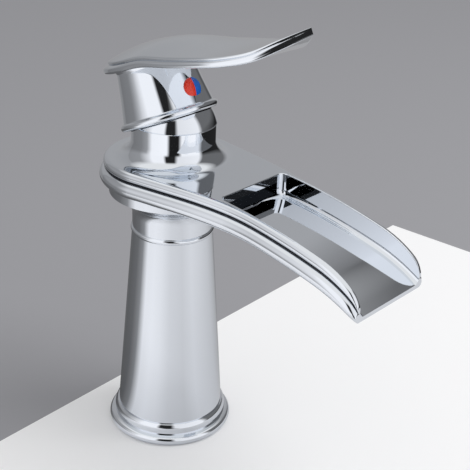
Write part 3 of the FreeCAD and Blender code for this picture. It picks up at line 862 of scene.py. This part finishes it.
def makeLever():
    h = handle
    points = leafOutline()
    piece = startPoint("leverHandle", (points[0][0] * mm, 0, -h["rim"][3] * mm))
    drawLine([(x, y, 0.0) for x, y in points + points[:1]])
    bpy.ops.mesh.select_all(action="SELECT")
    bpy.ops.mesh.remove_doubles(threshold=near)
    for rings in (h["top"], h["side"]):
        pick(lambda v: abs(v.co.z + h["rim"][3] * mm) < near)
        last = h["rim"]
        for ring in rings + [(out, out, out, rings[-1][3]) for out in h["inward"]]:
            offsetRing(ring, last)
            last = ring
    closeUp()
    bpy.ops.object.mode_set(mode="OBJECT")
    for v in piece.data.vertices:  # laid on the lever's curved line, thinner towards the tip
        x, y, z = v.co / mm
        v.co.z = (leverHeight(x, y) + z * hermite(h["thick"], x, *h["thickSlopes"])) * mm
    smoothOff(piece)
    return piece


def raiseHandle(piece):
    h = handle
    makeActive(piece)
    turn = Matrix.Rotation(math.radians(-h["raise"]), 4, "Y")
    piece.matrix_world = Matrix.Translation((0, 0, h["pivotZ"] * mm)) @ turn
    bpy.ops.object.transform_apply(location=True, rotation=True, scale=True)


def makeHandle():
    h = handle
    lever = makeLever()
    shoulder = (math.sqrt(h["ball"] ** 2 - h["hub"][0][1] ** 2), h["hub"][0][1])
    up = math.radians(h["roof"])
    roof = (h["ball"] * math.cos(up), h["ball"] * math.sin(up))
    hub = turned("hub", (0.0, h["ball"]), (roof, shoulder), *h["hub"])
    smoothOff(hub)
    joinInto(lever, hub)
    raiseHandle(lever)
    dress(lever, "polished_chrome", "handle", "lever_handle")


plug = {
    "height": 16.5,
    "radius": 5.0,
    "seat": 18.87,
    "edge": 21.2,
    "edgeRound": 0.2,
    "face": 22.37,
    "crown": (2.6, 0.3),  # a place on the face's arc: out from its middle, down from its top
    "parts": 48,
}


def makePlug(name, slot, side):
    p = plug
    piece = turned(
        name,
        (0.0, p["seat"]),
        (p["radius"], p["seat"]),
        (p["radius"], p["edge"] - p["edgeRound"]),
        (p["radius"] - p["edgeRound"], p["edge"] + p["edgeRound"] / 4),
        ((p["crown"][0], p["face"] - p["crown"][1]), (0.0, p["face"])),
        parts=p["parts"],
        half=side,
    )
    smoothOff(piece)
    makeActive(piece)
    turn = Matrix.Rotation(math.radians(90), 4, "Y")
    piece.matrix_world = Matrix.Translation((0, 0, p["height"] * mm)) @ turn
    bpy.ops.object.transform_apply(location=True, rotation=True, scale=True)
    raiseHandle(piece)
    dress(piece, slot, "handle", slot)


makeFlange()
makeColumn()
makeTrim()
print("base and column made")
makeSpout()
makeDome()
print("spout and dome made")
makeHandle()
makePlug("redIndex", "index_red", -1)
makePlug("blueIndex", "index_blue", 1)
print("handle made")

shownByPiece = {  # CAD nodes that a piece above stands for
    "base_flange", "column", "trim_ring", "spout_body",
    "dome_cap", "lever_handle", "index_red", "index_blue",
}
slotOf = {part["node"]: part["material_slot"] for part in frame["record"]["subparts"]}
for node, piece in frame["nodes"].items():
    if node not in shownByPiece:
        piece.data.materials.clear()
        piece.data.materials.append(finishes[slotOf[node]])
print("inner parts dressed")

stage = {
    "deckEdge": -45.0,
    "deckEnd": 292.0,
    "deckTurn": 1.5,  # degrees, the pale floor's back edge against the faucet
    "reach": 4000.0,
    "under": -0.3,
    "deck": "F4F4F5",
    "backdrop": "9C9CA0",
    "seenRadius": 0.39,  # how far the floor shows in the chrome, m
    # (azimuth in degrees, level) of the floor round the foot, as the chrome shows it: a painted
    # reflection, grey levels that only glossy rays see
    "seen": [
        (-180, 0.13), (-150, 0.17), (-130, 0.3), (-113, 0.98), (-92, 1.0), (-72, 0.92), (-50, 0.76),
        (-20, 0.68), (5, 0.74), (30, 0.68), (62, 0.6), (92, 0.45), (125, 0.15), (180, 0.13),
    ],
    "cool": 1.025,  # blue against red and green in the rings of grey levels
}


def ringRamp(tree, way, levels):  # grey levels round the vertical axis
    split = addNode(tree, "ShaderNodeSeparateXYZ", {}, {0: way})
    sides = {0: split.outputs["Y"], 1: split.outputs["X"]}
    angle = addNode(tree, "ShaderNodeMath", {"operation": "ARCTAN2"}, sides)
    span = {"Value": angle.outputs[0], "From Min": -math.pi, "From Max": math.pi}
    share = addNode(tree, "ShaderNodeMapRange", {}, span)
    band = addNode(tree, "ShaderNodeValToRGB", {}, {"Fac": share.outputs[0]})
    ramp = band.color_ramp
    while len(ramp.elements) < len(levels):
        ramp.elements.new(0.5)
    for element, (azimuth, level) in zip(ramp.elements, levels):
        element.position = (azimuth + 180) / 360
        element.color = (level, level, level * stage["cool"], 1)
    return band.outputs["Color"]


def stageMaterial(name, colour):
    material = bpy.data.materials.new(name)
    material.use_nodes = True
    tree = material.node_tree
    tree.nodes.clear()
    place = addNode(tree, "ShaderNodeNewGeometry").outputs["Position"]
    reflected = addNode(tree, "ShaderNodeLightPath").outputs["Is Glossy Ray"]
    away = addNode(tree, "ShaderNodeVectorMath", {"operation": "LENGTH"}, {0: place})
    limit = {0: away.outputs["Value"], 1: stage["seenRadius"]}
    beyond = addNode(tree, "ShaderNodeMath", {"operation": "GREATER_THAN"}, limit)
    both = {0: beyond.outputs[0], 1: reflected}
    hidden = addNode(tree, "ShaderNodeMath", {"operation": "MULTIPLY"}, both)
    # painted reflection: glossy rays see the floor in the grey levels round the foot, while the camera
    # sees the floor's own colour
    colours = {0: reflected, 6: toLinear(colour), 7: ringRamp(tree, place, stage["seen"])}
    paint = addNode(tree, "ShaderNodeMix", {"data_type": "RGBA"}, colours)
    matt = addNode(tree, "ShaderNodeBsdfDiffuse", {}, {"Color": paint.outputs[2]})
    clear = addNode(tree, "ShaderNodeBsdfTransparent")
    either = {0: hidden.outputs[0], 1: matt.outputs[0], 2: clear.outputs[0]}
    mix = addNode(tree, "ShaderNodeMixShader", {}, either)
    addNode(tree, "ShaderNodeOutputMaterial", {}, {"Surface": mix.outputs[0]})
    return material


def makeSheet(name, low, high, height, material):
    deselectAll()
    middle = [(a + b) / 2 * mm for a, b in zip(low, high)]
    bpy.ops.mesh.primitive_plane_add(size=1.0, location=(*middle, height * mm))
    piece = bpy.context.object
    piece.name = piece.data.name = name
    piece.scale = ((high[0] - low[0]) * mm, (high[1] - low[1]) * mm, 1)
    bpy.ops.object.transform_apply(location=True, rotation=False, scale=True)
    piece.rotation_euler.z = math.radians(stage["deckTurn"])
    bpy.ops.object.transform_apply(location=False, rotation=True, scale=False)
    piece.data.materials.append(material)


far = stage["reach"]
deckPaint = stageMaterial("plainDeck", stage["deck"])
backPaint = stageMaterial("plainBackdrop", stage["backdrop"])
makeSheet("deckFloor", (stage["deckEdge"], -far), (far, stage["deckEnd"]), 0.0, deckPaint)
makeSheet("backFloor", (-far, -far), (far, far), stage["under"], backPaint)

studio = {
    "ambient": 0.72,
    "backdrop": "98989C",
    # (azimuth in degrees, level) round the studio as polished metal sees it, at and above eye height
    "around": [
        (-180, 0.2), (-140, 0.24), (-120, 0.36), (-105, 1.05), (-64, 1.1), (-56, 0.015), (-33, 0.015),
        (-24, 1.05), (22, 1.1), (34, 0.015), (104, 0.02), (116, 0.4), (180, 0.25),
    ],
    "upper": [
        (-180, 0.3), (-140, 0.34), (-130, 0.5), (-113, 0.8), (-103, 1.05), (-72, 1.05), (-65, 0.02),
        (-43, 0.02), (-34, 0.9), (22, 1.0), (34, 0.16), (104, 0.16), (116, 0.42), (180, 0.36),
    ],
    "ceiling": 0.9,
    # heights on the unit sphere where one gives way to the next
    "toUpper": (-0.1, 0.15),
    "toCeiling": (0.64, 0.8),
}


def grey(level):
    return (level, level, level, 1)


def blendAbove(tree, height, span, under, over):  # from one colour to the other between two heights
    limits = {"Value": height, "From Min": span[0], "From Max": span[1]}
    share = addNode(tree, "ShaderNodeMapRange", {}, limits)
    colours = {0: share.outputs[0], 6: under, 7: over}
    return addNode(tree, "ShaderNodeMix", {"data_type": "RGBA"}, colours).outputs[2]


def makeWorld():
    s = studio
    world = bpy.data.worlds.new("studio")
    bpy.context.scene.world = world
    world.use_nodes = True
    tree = world.node_tree
    tree.nodes.clear()
    way = addNode(tree, "ShaderNodeTexCoord").outputs["Generated"]
    height = addNode(tree, "ShaderNodeSeparateXYZ", {}, {0: way}).outputs["Z"]
    around, upper = (ringRamp(tree, way, s[key]) for key in ("around", "upper"))
    seen = blendAbove(tree, height, s["toUpper"], around, upper)
    seen = blendAbove(tree, height, s["toCeiling"], seen, grey(s["ceiling"]))
    ray = addNode(tree, "ShaderNodeLightPath")
    colours = {0: ray.outputs["Is Glossy Ray"], 6: grey(s["ambient"]), 7: seen}
    lit = addNode(tree, "ShaderNodeMix", {"data_type": "RGBA"}, colours)
    colours = {0: ray.outputs["Is Camera Ray"], 6: lit.outputs[2], 7: toLinear(s["backdrop"])}
    shown = addNode(tree, "ShaderNodeMix", {"data_type": "RGBA"}, colours)
    back = addNode(tree, "ShaderNodeBackground", {}, {"Color": shown.outputs[2], "Strength": 1.0})
    addNode(tree, "ShaderNodeOutputWorld", {}, {"Surface": back.outputs[0]})


makeWorld()

lamp = {"azimuth": 30.0, "elevation": 55.0, "distance": 1.6, "size": 0.9, "power": 10.0}  # m and W


def makeLamp():
    az, el = math.radians(lamp["azimuth"]), math.radians(lamp["elevation"])
    away = Vector((math.cos(el) * math.cos(az), math.cos(el) * math.sin(az), math.sin(el)))
    deselectAll()
    bpy.ops.object.light_add(type="AREA", location=away * lamp["distance"])
    light = bpy.context.object
    light.name = "softLamp"
    light.data.size = lamp["size"]
    light.data.energy = lamp["power"]
    light.rotation_euler = away.to_track_quat("Z", "Y").to_euler()
    light.visible_glossy = False


makeLamp()

view = {
    "azimuth": 40.71,
    "elevation": 25.38,
    "roll": 2.35,
    "place": (348.5, -356.9, 343.4),  # mm
    "focal": 1100.0,  # pixels
    "frame": 470.0,  # pixels
    "sensor": 36.0,
}


def makeCamera():
    a, e, roll = (math.radians(view[key]) for key in ("azimuth", "elevation", "roll"))
    back = Vector((math.sin(a) * math.cos(e), -math.cos(a) * math.cos(e), math.sin(e)))
    right = Vector((math.cos(a), math.sin(a), 0))
    up = back.cross(right)
    side = right * math.cos(roll) + up * math.sin(roll)
    top = up * math.cos(roll) - right * math.sin(roll)
    bpy.ops.object.camera_add()
    camera = bpy.context.object
    turn = Matrix((side, top, back)).transposed().to_4x4()
    camera.matrix_world = Matrix.Translation(Vector(view["place"]) * mm) @ turn
    camera.data.lens = view["focal"] / view["frame"] * view["sensor"]
    camera.data.sensor_width = view["sensor"]
    bpy.context.scene.camera = camera


makeCamera()
bpy.context.scene.view_settings.view_transform = "Standard"
print("stage, light and camera set")
